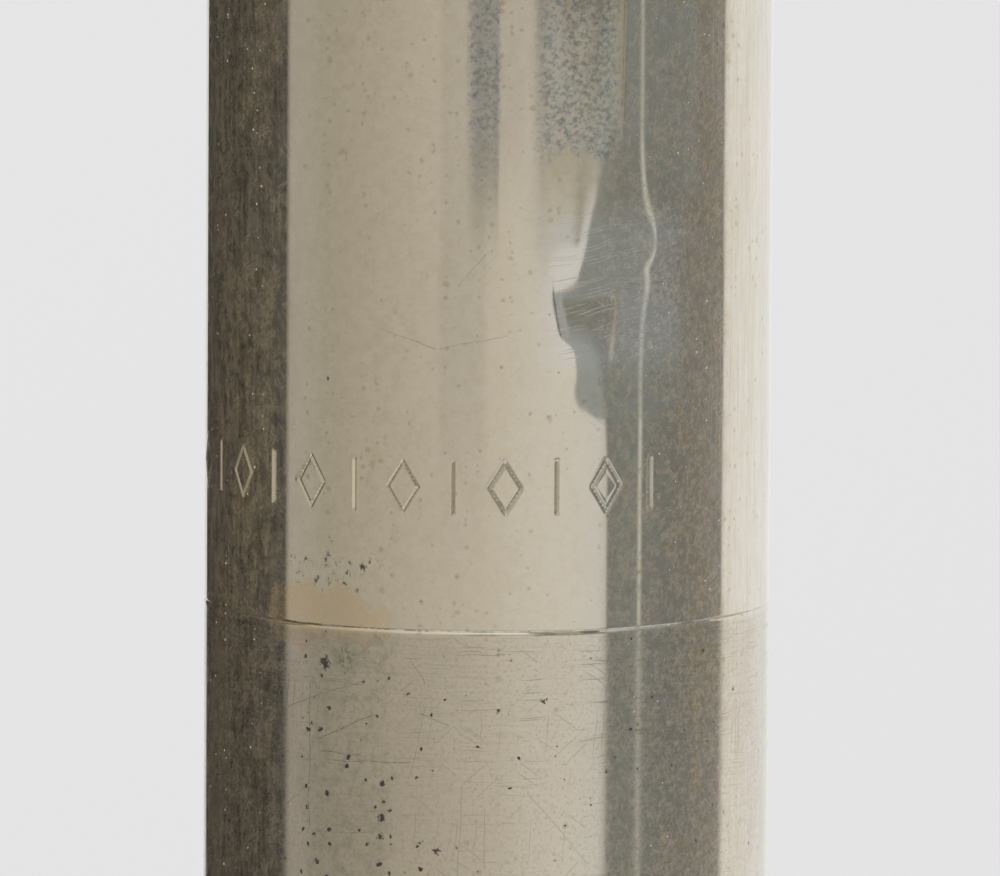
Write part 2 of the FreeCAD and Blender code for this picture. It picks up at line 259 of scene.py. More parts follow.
def dent_depths():
    """The dent's depth along each of its levels, summed up from how far its face is turned."""
    rows = []
    for height, edge, inside, deepest, beyond, far in DENT:
        places = (edge - 1.8, edge, deepest, 35.5, 41.0, 49.0, 56.0)
        turned = np.interp(DENT_SIDES, places, (0, inside, 0, beyond, far, 1.1 * far, 0))
        depth = QUILL_R * np.cumsum(np.radians(turned)) * np.radians(DENT_SIDES[1] - DENT_SIDES[0])
        rows.append(depth - depth[-1] * np.interp(DENT_SIDES, (38.0, 56.0), (0, 1)))
    return rows


DENT_DEPTHS = dent_depths()


def dented(azimuth, height):
    turn = (np.asarray(azimuth) - WORN_AZIMUTH + 180) % 360 - 180
    total = 0.0
    for step in (-0.4, -0.2, 0.0, 0.2, 0.4):
        place = np.interp(height + step, [row[0] for row in DENT], range(len(DENT)))
        for level, row in enumerate(DENT_DEPTHS):
            share = np.maximum(1 - np.abs(place - level), 0)
            total = total + share * np.interp(turn, DENT_SIDES, row, 0, 0) / 5
    return total


def quill_radius(azimuth, height):
    """The quill's outside, away from the ring's own rows."""
    wander = 0.0035 * np.sin(np.radians(azimuth) * 3 + height * 0.05)
    full = np.where(np.asarray(height) > COLLAR_BOTTOM, SEAT_R, QUILL_R)
    return full - SKIN + wander - dented(azimuth, height)


def bore_radius(height):
    return max(BORE_R, MOUTH_R - (MOUTH_R - BORE_R) * height / MOUTH_DEPTH)


def keyhole(offset, levels, arc_count):
    """The slot's outline as (across, height) points, up one side, round the end and down the other."""
    half, end_r = SLOT_HALF_WIDTH + offset, SLOT_END_R + offset
    neck = math.acos(half / end_r)
    left = [(-half, z) for z in levels]
    arc = []
    for turn in np.linspace(math.pi + neck, -neck, arc_count):
        arc.append((end_r * math.cos(turn), SLOT_END_HEIGHT + end_r * math.sin(turn)))
    return left + arc + [(-x, z) for x, z in reversed(left)]


class Quill:
    """Builds the tube's mesh in closed rows up the outside and down the bore, with a patch at each slot."""

    LOW_LEVELS = [0.0, FOOT_CHAMFER, 2.0, 6.0, 11.0, 16.0, 21.0, 26.0, 31.0, 35.0, SLOT_WINDOW_TOP]

    def __init__(self):
        self.points, self.faces = [], []
        columns = list(np.arange(-121.0, 6.0, 0.78)) + list(np.arange(6.0, 239.0, 1.5))
        for slot in range(SLOT_COUNT):
            for side in (-1, 1):
                edge = slot * 90.0 - 90.0 + side * SLOT_WINDOW_HALF_ANGLE
                near = min(range(len(columns)), key=lambda i: abs((columns[i] - edge + 180) % 360 - 180))
                columns[near] = edge if abs(columns[near] - edge) < 90 else edge + 360
        self.columns = np.array(sorted(columns))
        self.count = len(columns)
        self.open = self.in_window(self.columns)
        self.ends = np.append(self.columns[1:], self.columns[0] + 360)
        self.open_cells = self.in_window((self.columns + self.ends) / 2)

    def in_window(self, azimuths):
        return abs((azimuths + 45) % 90 - 45) < SLOT_WINDOW_HALF_ANGLE - 1e-3

    def point(self, x, y, z):
        self.points.append((x, y, z))
        return len(self.points) - 1

    def row(self, azimuths, radii, heights, holes=False):
        """Points around the tube, with None where there is a hole."""
        places = zip(*np.broadcast_arrays(azimuths, radii, heights, holes))
        return [None if hole else self.point(*on_cylinder(r, a, z)) for a, r, z, hole in places]

    def outside_row(self, height):
        return self.row(self.columns, quill_radius(self.columns, height), height)

    def join(self, lower, upper, slotted=False):
        for i in range(len(lower)):
            j = (i + 1) % len(lower)
            if not (slotted and self.open_cells[i]):
                self.faces.append((lower[i], lower[j], upper[j], upper[i]))

    def stack(self, previous, rows):
        """Joins each new row to the one before it and gives back the last."""
        for row in rows:
            self.join(previous, row)
            previous = row
        return previous

    def slotted_rows(self):
        """The foot's rows, outside and in the bore, and the faces between them."""
        outside, bore = [], []
        for height in self.LOW_LEVELS:
            radius = quill_radius(self.columns, height)
            if height <= FOOT_CHAMFER:
                radius = QUILL_R - SKIN - (FOOT_CHAMFER - height)
            holes = self.open & (height < SLOT_WINDOW_TOP)
            outside.append(self.row(self.columns, radius, height, holes))
            bore.append(self.row(self.columns, bore_radius(height), height, holes))
        for k in range(len(self.LOW_LEVELS) - 1):
            self.join(outside[k], outside[k + 1], slotted=True)
            self.join(bore[k + 1], bore[k], slotted=True)
        self.join(bore[0], outside[0], slotted=True)
        return outside, bore

    def ring_rows(self):
        for offset in (*(-z for z in reversed(RING_ROWS)), 0.0, *RING_ROWS):
            height = ring_middle(self.columns) + offset
            half = RING_HALF_WIDTH + 0.01 * np.sin(np.radians(self.columns) * 5)
            cut = RING_DEPTH * np.clip(1 - abs(offset) / half, 0, 1)
            lip = 0.008 * math.exp(-(((offset + 0.15) / 0.05) ** 2))
            yield self.row(self.columns, quill_radius(self.columns, height) - cut + lip, height)

    def marked_belt(self, previous):
        """The belt of marks, on columns split in three within the marks' reach."""
        start = MARK_FIRST_AZIMUTH - MARK_REACH
        stop = MARK_FIRST_AZIMUTH + (MARK_COUNT - 1) * MARK_PITCH + MARK_REACH
        splits = [3 if start <= a <= stop else 1 for a in self.columns]
        fine, first = [], []
        for a, b, parts in zip(self.columns, self.ends, splits):
            first.append(len(fine))
            fine += [a + (b - a) * k / parts for k in range(parts)]
        fine = np.array(fine)
        rows = []
        for height in np.linspace(MARK_MIDDLE - MARK_BELT, MARK_MIDDLE + MARK_BELT, 50):
            rows.append(self.row(fine, quill_radius(fine, height) - punched(fine, height), height))
        above = self.outside_row(MARK_MIDDLE + MARK_BELT + 0.3)
        self.stack(rows[0], rows[1:])
        for i in range(self.count):
            j = (i + 1) % self.count
            places = [(first[i] + k) % len(fine) for k in range(splits[i] + 1)]
            self.faces.append((previous[i], previous[j], *(rows[0][p] for p in reversed(places))))
            self.faces.append((*(rows[-1][p] for p in places), above[j], above[i]))
        return above

    def slot_patch(self, middle, outside, bore):
        """The tube's wall about one slot: rings of points from the window's edge in to the slot's."""
        offsets = (self.columns - middle + 180) % 360 - 180
        near = [i for i in np.argsort(offsets) if abs(offsets[i]) < SLOT_WINDOW_HALF_ANGLE + 1e-3]
        levels = self.LOW_LEVELS[:-1]
        scale = SLOT_NECK / levels[-1]
        edge_levels = [z * scale if z > FOOT_CHAMFER else z for z in levels]
        turn = math.radians(middle)

        def window(rows):
            left = [row[near[0]] for row in rows[:-1]]
            right = [row[near[-1]] for row in rows[:-1]]
            return left + [rows[-1][i] for i in near] + right[::-1]

        def slot_ring(offset, radius_at):
            ring = []
            for across, height in keyhole(offset, edge_levels, len(near)):
                out = math.sqrt(radius_at(height) ** 2 - across**2)
                x = across * math.cos(turn) + out * math.sin(turn)
                y = across * math.sin(turn) - out * math.cos(turn)
                ring.append(self.point(x, y, height))
            return ring

        def between(first, second, share):
            ring = []
            for a, b in zip(first, second):
                pa, pb = Vector(self.points[a]), Vector(self.points[b])
                p = pa.lerp(pb, share)
                stretch = (pa.xy.length * (1 - share) + pb.xy.length * share) / p.xy.length
                ring.append(self.point(p.x * stretch, p.y * stretch, p.z))
            return ring

        def outer(height):
            return QUILL_R - SKIN - max(0.0, FOOT_CHAMFER - height)

        def rings(frame_row, radius_at, inward):
            lip = slot_ring(SLOT_EDGE, radius_at)
            edge = slot_ring(0.0, lambda height: radius_at(height) + inward * SLOT_EDGE)
            return [frame_row] + [between(frame_row, lip, s) for s in (0.35, 0.7, 0.9)] + [lip, edge]

        out = rings(window(outside), outer, -1)
        inner = rings(window(bore), bore_radius, 1)
        wall = out + inner[::-1]
        for a, b in zip(wall, wall[1:]):
            for i in range(len(a) - 1):
                self.faces.append((a[i], a[i + 1], b[i + 1], b[i]))
        for a, b, c, d in zip(out, out[1:], inner, inner[1:]):
            self.faces.append((a[0], b[0], d[0], c[0]))
            self.faces.append((b[-1], a[-1], c[-1], d[-1]))

    def build(self):
        outside, bore = self.slotted_rows()
        plain = list(np.arange(43.0, 70.5, 3.0)) + [71.0]
        last = self.stack(outside[-1], map(self.outside_row, plain))
        last = self.stack(last, self.ring_rows())
        last = self.stack(last, map(self.outside_row, np.arange(73.2, MARK_MIDDLE - MARK_BELT - 0.3, 0.9)))
        last = self.marked_belt(last)
        dent = np.arange(MARK_MIDDLE + MARK_BELT + 0.55, 95.0, 0.25)
        rest = [96.5, 99.0, COLLAR_BOTTOM, COLLAR_BOTTOM + 0.01, 115.0, 127.0, QUILL_LENGTH]
        last = self.stack(last, map(self.outside_row, [*dent, *rest]))
        inside = [self.row(self.columns, BORE_R, z) for z in (QUILL_LENGTH, 110.0, 80.0, 60.0)]
        self.stack(last, inside + [bore[-1]])
        for slot in range(SLOT_COUNT):
            self.slot_patch(slot * 90.0, outside, bore)
        return add_piece("quill", self.points, self.faces, "stem", smooth_angle=30.0)


quill = Quill().build()
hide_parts("quill_tube")

# ---- bolts and solder


def threaded(height, start, end):
    """The radius of a screw thread at a height, as a function of azimuth, running out above its end."""

    def radius(azimuths):
        phase = (height / THREAD_PITCH - azimuths / 360.0) % 1.0
        flank = np.clip((2 * np.abs(phase - 0.5) - 0.12) / 0.76, 0, 1)
        depth = THREAD_DEPTH * np.clip((end - height) / THREAD_PITCH, 0, 1)
        chamfer = BOLT_R - TIP_CHAMFER + (height - start)
        return np.minimum(BOLT_R - depth * flank, chamfer)

    return radius


def thread_rows(start, end):
    return [(z, threaded(z, start, end)) for z in np.arange(start, end + THREAD_PITCH, THREAD_PITCH / 12)]


def hexagon(flats, cap):
    """The radius of a hexagon with a pair of flats square to Y, its corners eased and held under a cap."""

    def radius(azimuths):
        corner = np.radians((azimuths + 30) % 60 - 30)
        eased = min(cap, flats / math.sqrt(3) - 0.06)
        return np.minimum(flats / 2 / np.cos(corner), eased)

    return radius


def dome_rows(radius, low, high, steps):
    """Rows of a ball-shaped cap from a rim at low up to the axis at high."""
    centre = (high**2 - low**2 - radius**2) / (2 * (high - low))
    ball = high - centre
    half = math.atan2(radius, low - centre)
    return [
        (centre + ball * math.cos(turn), ball * math.sin(turn))
        for turn in np.linspace(half, half / steps, steps)
    ]


def expander_bolt():
    low, high = box_mm("expander_bolt")
    under = high.z - EXPANDER_CROWN - EXPANDER_HEAD_HEIGHT
    face = EXPANDER_FLATS / 2 * 0.95
    rows = [(low.z, 0.2)] + thread_rows(low.z, low.z + EXPANDER_THREAD)
    rows += [(under - 0.3, BOLT_R), (under, BOLT_R + 0.3)]
    rows += [(under, hexagon(EXPANDER_FLATS, face)), (under + 0.25, hexagon(EXPANDER_FLATS, math.inf))]
    turned_off = EXPANDER_HEAD_HEIGHT + under
    for z in np.linspace(turned_off - 0.9, turned_off, 10):
        rows.append((z, hexagon(EXPANDER_FLATS, face + (turned_off - z) / math.tan(math.radians(30)))))
    rows += dome_rows(face - 0.12, turned_off + 0.04, high.z, 14)
    piece = add_piece("expander_bolt_threaded", *revolved(rows, 96), "expander_screw")
    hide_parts("expander_bolt")
    return piece


def binder_bolt():
    low, high = box_mm("clamp_bolt")
    seat = high.z - BINDER_HEAD_HEIGHT
    rows = [(low.z, 0.2)] + thread_rows(low.z, low.z + BINDER_THREAD)
    rows += [(seat - 0.2, BOLT_R), (seat, BOLT_R + 0.2), (seat, BINDER_HEAD_R - 0.4)]
    rows += [(seat + 0.12, BINDER_HEAD_R - 0.12), (seat + 0.4, BINDER_HEAD_R)]
    rows += dome_rows(BINDER_HEAD_R, seat + 1.6, high.z, 24)
    points, faces = revolved(rows, 96, BINDER_Y)
    tip = seat - PEG_DEPTH
    peg = [(tip, PEG_R - 0.2), (tip + 0.2, PEG_R), (seat + 1.0, PEG_R)]
    peg_points, peg_faces = revolved(peg, 24, BINDER_Y - PEG_OFFSET)
    faces += [tuple(p + len(points) for p in f) for f in peg_faces]
    piece = add_piece("binder_bolt_threaded", points + peg_points, faces, "stem")
    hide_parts("clamp_bolt")
    return piece


def solder_line(name, centre, axis, seed):
    """A thin fillet of solder between a tube and the mouth of its lug. axis points out of the mouth."""
    spin = axis.to_track_quat("Z", "Y").to_matrix()
    points, faces = [], []
    around, across = 180, 7
    for i in range(around):
        turn = 2 * math.pi * i / around
        wander = 0.06 * math.sin(3 * turn + seed) + 0.05 * math.sin(7 * turn + 2 * seed)
        reach = SOLDER_R * (1 + wander)
        ring = [(QUILL_R - 0.2, -0.2)]
        for k in range(across):
            bend = math.pi / 2 * k / (across - 1)
            ring.append((QUILL_R + reach * (1 - math.cos(bend)), reach * (1 - math.sin(bend))))
        ring.append((QUILL_R + reach, -0.2))
        for r, z in ring:
            points.append(centre + spin @ Vector((r * math.cos(turn), r * math.sin(turn), z)))
    count = across + 2
    for i in range(around):
        here, there = i * count, (i + 1) % around * count
        for k in range(count):
            n = (k + 1) % count
            faces.append((here + k, here + n, there + n, there + k))
    piece = add_piece(name, [tuple(p) for p in points], faces, "stem", smooth_angle=50.0)
    return piece


bolts = [expander_bolt(), binder_bolt()]
solder = [
    solder_line("quill_solder", Vector((0, 0, COLLAR_BOTTOM)), Vector((0, 0, -1)), 1.0),
    solder_line("extension_rear_solder", ROOT + ALONG * HEAD_SOCKET_REACH, ALONG, 2.0),
    solder_line("extension_front_solder", BAR_CENTRE - ALONG * CLAMP_SOCKET_REACH, -ALONG, 3.0),
]

# ---- materials


class Maker:
    """Adds nodes to a material or a world; most calls give an output socket. Lengths are millimetres."""

    def __init__(self, owner):
        owner.use_nodes = True
        self.owner = owner
        self.tree = owner.node_tree
        self.tree.nodes.clear()
        self.tint = None
        self.haze = None

    def set(self, socket, value):
        if isinstance(value, bpy.types.NodeSocket):
            self.tree.links.new(value, socket)
        elif isinstance(value, tuple) and len(value) == 3 and socket.type == "RGBA":
            socket.default_value = (*value, 1.0)
        else:
            socket.default_value = value

    def node(self, kind, *values, **settings):
        """A new node, with its first inputs linked or set to the values."""
        node = self.tree.nodes.new(kind)
        for name, value in settings.items():
            setattr(node, name, value)
        for socket, value in zip(node.inputs, values):
            self.set(socket, value)
        return node

    def math(self, operation, *values, clamp=False):
        return self.node("ShaderNodeMath", *values, operation=operation, use_clamp=clamp).outputs[0]

    def chain(self, operation, values):
        total = values[0]
        for value in values[1:]:
            total = self.math(operation, total, value)
        return total

    def add(self, *values):
        return self.chain("ADD", values)

    def times(self, *values):
        return self.chain("MULTIPLY", values)

    def most(self, *values):
        return self.chain("MAXIMUM", values)

    def less(self, a, b):
        return self.math("SUBTRACT", a, b)

    def gather(self, make, place, kinds):
        """The most of several masks, each made by make from the place and one kind's numbers."""
        found = make(place, *kinds[0])
        for kind in kinds[1:]:
            found = self.most(found, make(place, *kind))
        return found

    def vector(self, x, y, z=0.0):
        return self.node("ShaderNodeCombineXYZ", x, y, z).outputs[0]

    def vector_math(self, operation, a, b):
        node = self.node("ShaderNodeVectorMath", a, b, operation=operation)
        return node.outputs["Value" if operation in ("DISTANCE", "DOT_PRODUCT") else "Vector"]

    def split(self, vector):
        return self.node("ShaderNodeSeparateXYZ", vector).outputs

    def stretch(self, vector, scale, shift=(0, 0, 0)):
        return self.node("ShaderNodeMapping", vector, shift, (0, 0, 0), scale).outputs[0]

    def turn(self, vector, angles, shift=(0, 0, 0)):
        turned = [math.radians(t) for t in angles]
        return self.node("ShaderNodeMapping", vector, shift, turned).outputs[0]

    def noise(self, vector, scale=1.0, detail=2.0, roughness=0.5, output="Fac"):
        return self.node("ShaderNodeTexNoise", vector, 0.0, scale, detail, roughness).outputs[output]

    def cloud(self, vector, scale, shift=(0, 0, 0), detail=5.0, roughness=0.7):
        """A noise with a scale for each axis."""
        return self.noise(self.stretch(vector, scale, shift), 1.0, detail, roughness)

    def wander(self, vector, scale, reach):
        """The vector moved about by up to about half of reach."""
        moved = self.vector_math("SUBTRACT", self.noise(vector, scale, output="Color"), (0.5, 0.5, 0.5))
        return self.vector_math("ADD", vector, self.vector_math("MULTIPLY", moved, (reach, reach, reach)))

    def cells(self, vector, scale=1.0, dimensions="3D"):
        """Distance to the nearest of a scatter of points, and a random number for that point."""
        node = self.node("ShaderNodeTexVoronoi", vector, 0.0, scale, voronoi_dimensions=dimensions)
        return node.outputs["Distance"], self.split(node.outputs["Color"])[0]

    def band(self, value, low, high, start=0.0, end=1.0, shape="SMOOTHSTEP"):
        """Maps low..high to start..end, held at both ends."""
        values = (value, low, high, start, end)
        return self.node("ShaderNodeMapRange", *values, interpolation_type=shape).outputs[0]

    def hump(self, value, low, high, edge):
        """1 between low and high, falling to 0 over edge on either side."""
        return self.times(self.band(value, low - edge, low), self.band(value, high, high + edge, 1.0, 0.0))

    def ramp(self, value, stops, smooth=True):
        """A colour that runs through (value, colour) stops."""
        low, high = stops[0][0], stops[-1][0]
        node = self.node("ShaderNodeValToRGB", self.band(value, low, high, shape="LINEAR"))
        node.color_ramp.interpolation = "EASE" if smooth else "LINEAR"
        elements = node.color_ramp.elements
        while len(elements) < len(stops):
            elements.new(0.5)
        for element, (place, colour) in zip(elements, stops):
            element.position = (place - low) / (high - low)
            element.color = (*colour, 1.0)
        return node.outputs["Color"]

    def mix(self, share, a, b):
        node = self.node("ShaderNodeMix", share, data_type="RGBA")
        self.set(node.inputs[6], a)
        self.set(node.inputs[7], b)
        return node.outputs[2]

    def paint(self, colour, *shares):
        """Lays a colour over the tint so far, as much as the product of the shares."""
        self.tint = self.mix(self.times(*shares), self.tint, colour)

    def fog(self, *shares):
        """Adds the product of the shares to the haze."""
        self.haze = self.add(self.haze, self.times(*shares))

    def bump(self, height, depth):
        """A bump whose height of 1 stands for depth millimetres."""
        node = self.node("ShaderNodeBump", 1.0, depth * MM)
        self.set(node.inputs["Height"], height)
        return node.outputs[0]

    def object_mm(self):
        node = self.node("ShaderNodeTexCoord")
        return self.stretch(node.outputs["Object"], (1 / MM, 1 / MM, 1 / MM))

    def spots(self, vector, scale, power, size, low, high):
        """Round spots about scattered points; a spot's size goes by its random number to a power."""
        away, pick = self.cells(vector, scale)
        return self.band(self.less(self.times(self.math("POWER", pick, power), size), away), low, high)

    def thin_cells(self, place, scale, dimensions, share):
        distance, pick = self.cells(self.stretch(place, scale), dimensions=dimensions)
        return self.times(self.band(distance, 0.12, 0.3, 1.0, 0.0), self.math("LESS_THAN", pick, share))

    def scratches(self, flat, turn, length, width, share, seed):
        """Thin tapered scratches on a flat map, at an angle. share of the cells hold one."""
        turned = self.turn(flat, (0, 0, -turn), (seed * 3.1, seed * 1.7, 0))
        return self.thin_cells(turned, (0.6 / length, 0.6 / width, 1), "2D", share)

    def scratches_about(self, place, turn, length, width, share):
        """Thin scratches through a solid, long one way, so that every face not square to it shows lines."""
        turned = self.turn(place, turn)
        return self.thin_cells(turned, (0.6 / length, 0.6 / width, 0.6 / width), "3D", share)

    def scratch(self, flat, start, end, strength):
        """One scratch on a flat map, from start to end."""
        run = Vector(end) - Vector(start)
        middle = (Vector(end) + Vector(start)) / 2
        centred = self.vector_math("SUBTRACT", flat, (middle.x, middle.y, 0))
        x, y, _ = self.split(self.turn(centred, (0, 0, -math.degrees(math.atan2(run.y, run.x)))))
        past = self.most(self.less(self.math("ABSOLUTE", x), run.length / 2), 0.0)
        away = self.math("SQRT", self.add(self.times(past, past), self.times(y, y)))
        return self.times(self.band(away, SCRATCH_WIDTH * 0.3, SCRATCH_WIDTH * 0.8, 1.0, 0.0), strength)

    def spot(self, flat, ragged, x, y, radius):
        """A ragged spot on a flat map; ragged is a noise that eats into its edge."""
        away = self.times(self.vector_math("DISTANCE", flat, (x, y, 0)), 1 / radius)
        return self.band(self.add(away, self.times(ragged, 2.6)), 1.9, 2.4, 1.0, 0.0)

    def metal(self, colour, metallic, roughness, normal):
        shader = self.node("ShaderNodeBsdfPrincipled")
        self.node("ShaderNodeOutputMaterial", shader.outputs["BSDF"])
        values = {"Base Color": colour, "Metallic": metallic, "Roughness": roughness, "Normal": normal}
        for name, value in values.items():
            self.set(shader.inputs[name], value)
        return self.owner


# Silver, from the brown of its most tarnished side to a white that on the quill's right edge is painted
# sheen
TARNISHED = (0.6, 0.505, 0.355)
DULL = (0.61, 0.53, 0.395)
POLISHED = (0.62, 0.555, 0.44)
BRIGHT = (0.7, 0.65, 0.56)
# What lies on it, and the painted shade and sheen laid over it
GOLD_FILM = (0.4, 0.31, 0.17)
GILT_FILM = (0.62, 0.5, 0.33)
BLUE_FILM = (0.5, 0.55, 0.57)
# Painted shade for the right flank's dark side
GREEN_PAINTED_SHADE = (0.42, 0.45, 0.41)
BROWN_PAINTED_SHADE = (0.36, 0.33, 0.28)
BROWN_STREAK = (0.52, 0.42, 0.27)
BROWN_STAIN = (0.54, 0.38, 0.19)
TAN_CRUMB = (0.58, 0.49, 0.35)
SAND = (0.62, 0.5, 0.34)
OLIVE_SPECK = (0.4, 0.33, 0.19)
BLUE_SPOT = (0.13, 0.16, 0.17)
# Painted sheen for the whitish patch beside the dent
WHITE_PAINTED_SHEEN = (0.66, 0.66, 0.65)
WORN = (0.3, 0.25, 0.18)
BRUSHED = (0.3, 0.25, 0.19)
GRAINED = (0.26, 0.22, 0.16)
DULLED = (0.26, 0.23, 0.18)
SCRATCH_SHADE = (0.2, 0.16, 0.11)
# Black for dirt and pits, and for the painted shade in the ring's groove
DIRT_AND_SHADE_BLACK = (0.02, 0.017, 0.012)
VERDIGRIS = (0.11, 0.15, 0.08)
SPARK = (0.8, 0.78, 0.74)
RUST = (0.16, 0.085, 0.045)

# Wear measured off the photographed tube, in millimetres. Pits: arc from the worn line, height and radius
PITS = [
    (-6.61, 70.55, 0.27), (-6.80, 70.00, 0.08), (-4.87, 69.94, 0.09), (-3.81, 70.10, 0.08),
    (-7.09, 69.13, 0.07), (-6.83, 67.94, 0.11), (2.25, 69.33, 0.13), (0.45, 68.89, 0.08),
    (-2.12, 68.76, 0.09), (-4.08, 66.05, 0.12), (-4.36, 65.09, 0.09), (-4.01, 65.30, 0.09),
    (-4.10, 64.68, 0.17), (-3.73, 64.98, 0.09), (-4.15, 63.91, 0.14), (-3.73, 63.99, 0.10),
    (-7.13, 63.85, 0.11), (-2.47, 63.80, 0.10), (-1.90, 63.47, 0.15), (-6.96, 62.77, 0.11),
    (-4.22, 62.85, 0.13), (-3.76, 62.54, 0.11), (0.95, 65.99, 0.08), (-6.56, 81.60, 0.08),
]
# Scratches that hold dirt: start and end as above, and how dark
SCRATCHES = [
    ((-7.30, 69.7), (-7.38, 64.0), 0.9), ((-6.85, 67.6), (-4.5, 68.7), 1.0),
    ((-6.70, 67.1), (-5.1, 67.1), 0.9), ((-6.50, 66.8), (-3.0, 66.9), 0.7),
    ((-8.40, 68.7), (-5.0, 69.9), 0.6), ((-3.00, 70.9), (-2.4, 70.0), 0.5),
    ((-2.40, 69.0), (-3.0, 66.3), 0.35), ((-2.56, 68.8), (-1.4, 68.4), 0.7),
    ((-0.90, 66.0), (-1.0, 62.0), 0.35), ((-0.05, 65.2), (0.0, 62.8), 0.3),
    ((-7.00, 63.9), (-4.4, 64.1), 0.5), ((1.68, 65.8), (4.1, 62.9), 0.3),
    ((-4.30, 83.7), (-2.0, 83.0), 0.5), ((-1.90, 83.0), (0.7, 83.5), 0.35),
    ((-0.15, 86.7), (-1.2, 85.5), 0.3),
]
SCRATCH_WIDTH = 0.036
# Scattered fine scratches: angle, length, width, share of the cells that hold one, and seed
LEVEL_LINES = [(2.0, 3.2, 0.030, 0.05, 1), (-3.0, 2.2, 0.028, 0.05, 2), (0.5, 1.4, 0.034, 0.05, 3)]
LOOSE_LINES = [(42, 2.0, 0.024, 0.02, 4), (-35, 1.6, 0.024, 0.02, 5), (86, 2.6, 0.024, 0.03, 6)]
RUBBED_LINES = [(13, 2.4, 0.034, 0.20, 8), (8, 1.6, 0.030, 0.15, 9)]
FLANK_LINES = [(27, 1.0, 0.026, 0.16, 10), (-40, 0.8, 0.026, 0.08, 11)]
EDGE_LINES = [(90, 9.0, 0.022, 0.12, 13)]
# The same through a solid: angles, length, width, share
LUG_LINES = [
    ((20, 35, 10), 5.0, 0.04, 0.05), ((-50, 15, 70), 4.0, 0.04, 0.05),
    ((75, -30, 40), 3.5, 0.035, 0.05), ((5, 80, -25), 4.0, 0.035, 0.05),
]
STEEL_LINES = [
    ((30, 20, 0), 2.5, 0.04, 0.12), ((-40, 60, 30), 2.0, 0.04, 0.12), ((85, 0, 50), 2.0, 0.04, 0.12),
]
DARK_SIDE = (4.7, 10.7)  # the arcs between which the right flank looks dark
SILVER_RELIEF = 0.0016
STEEL_RELIEF = 0.003


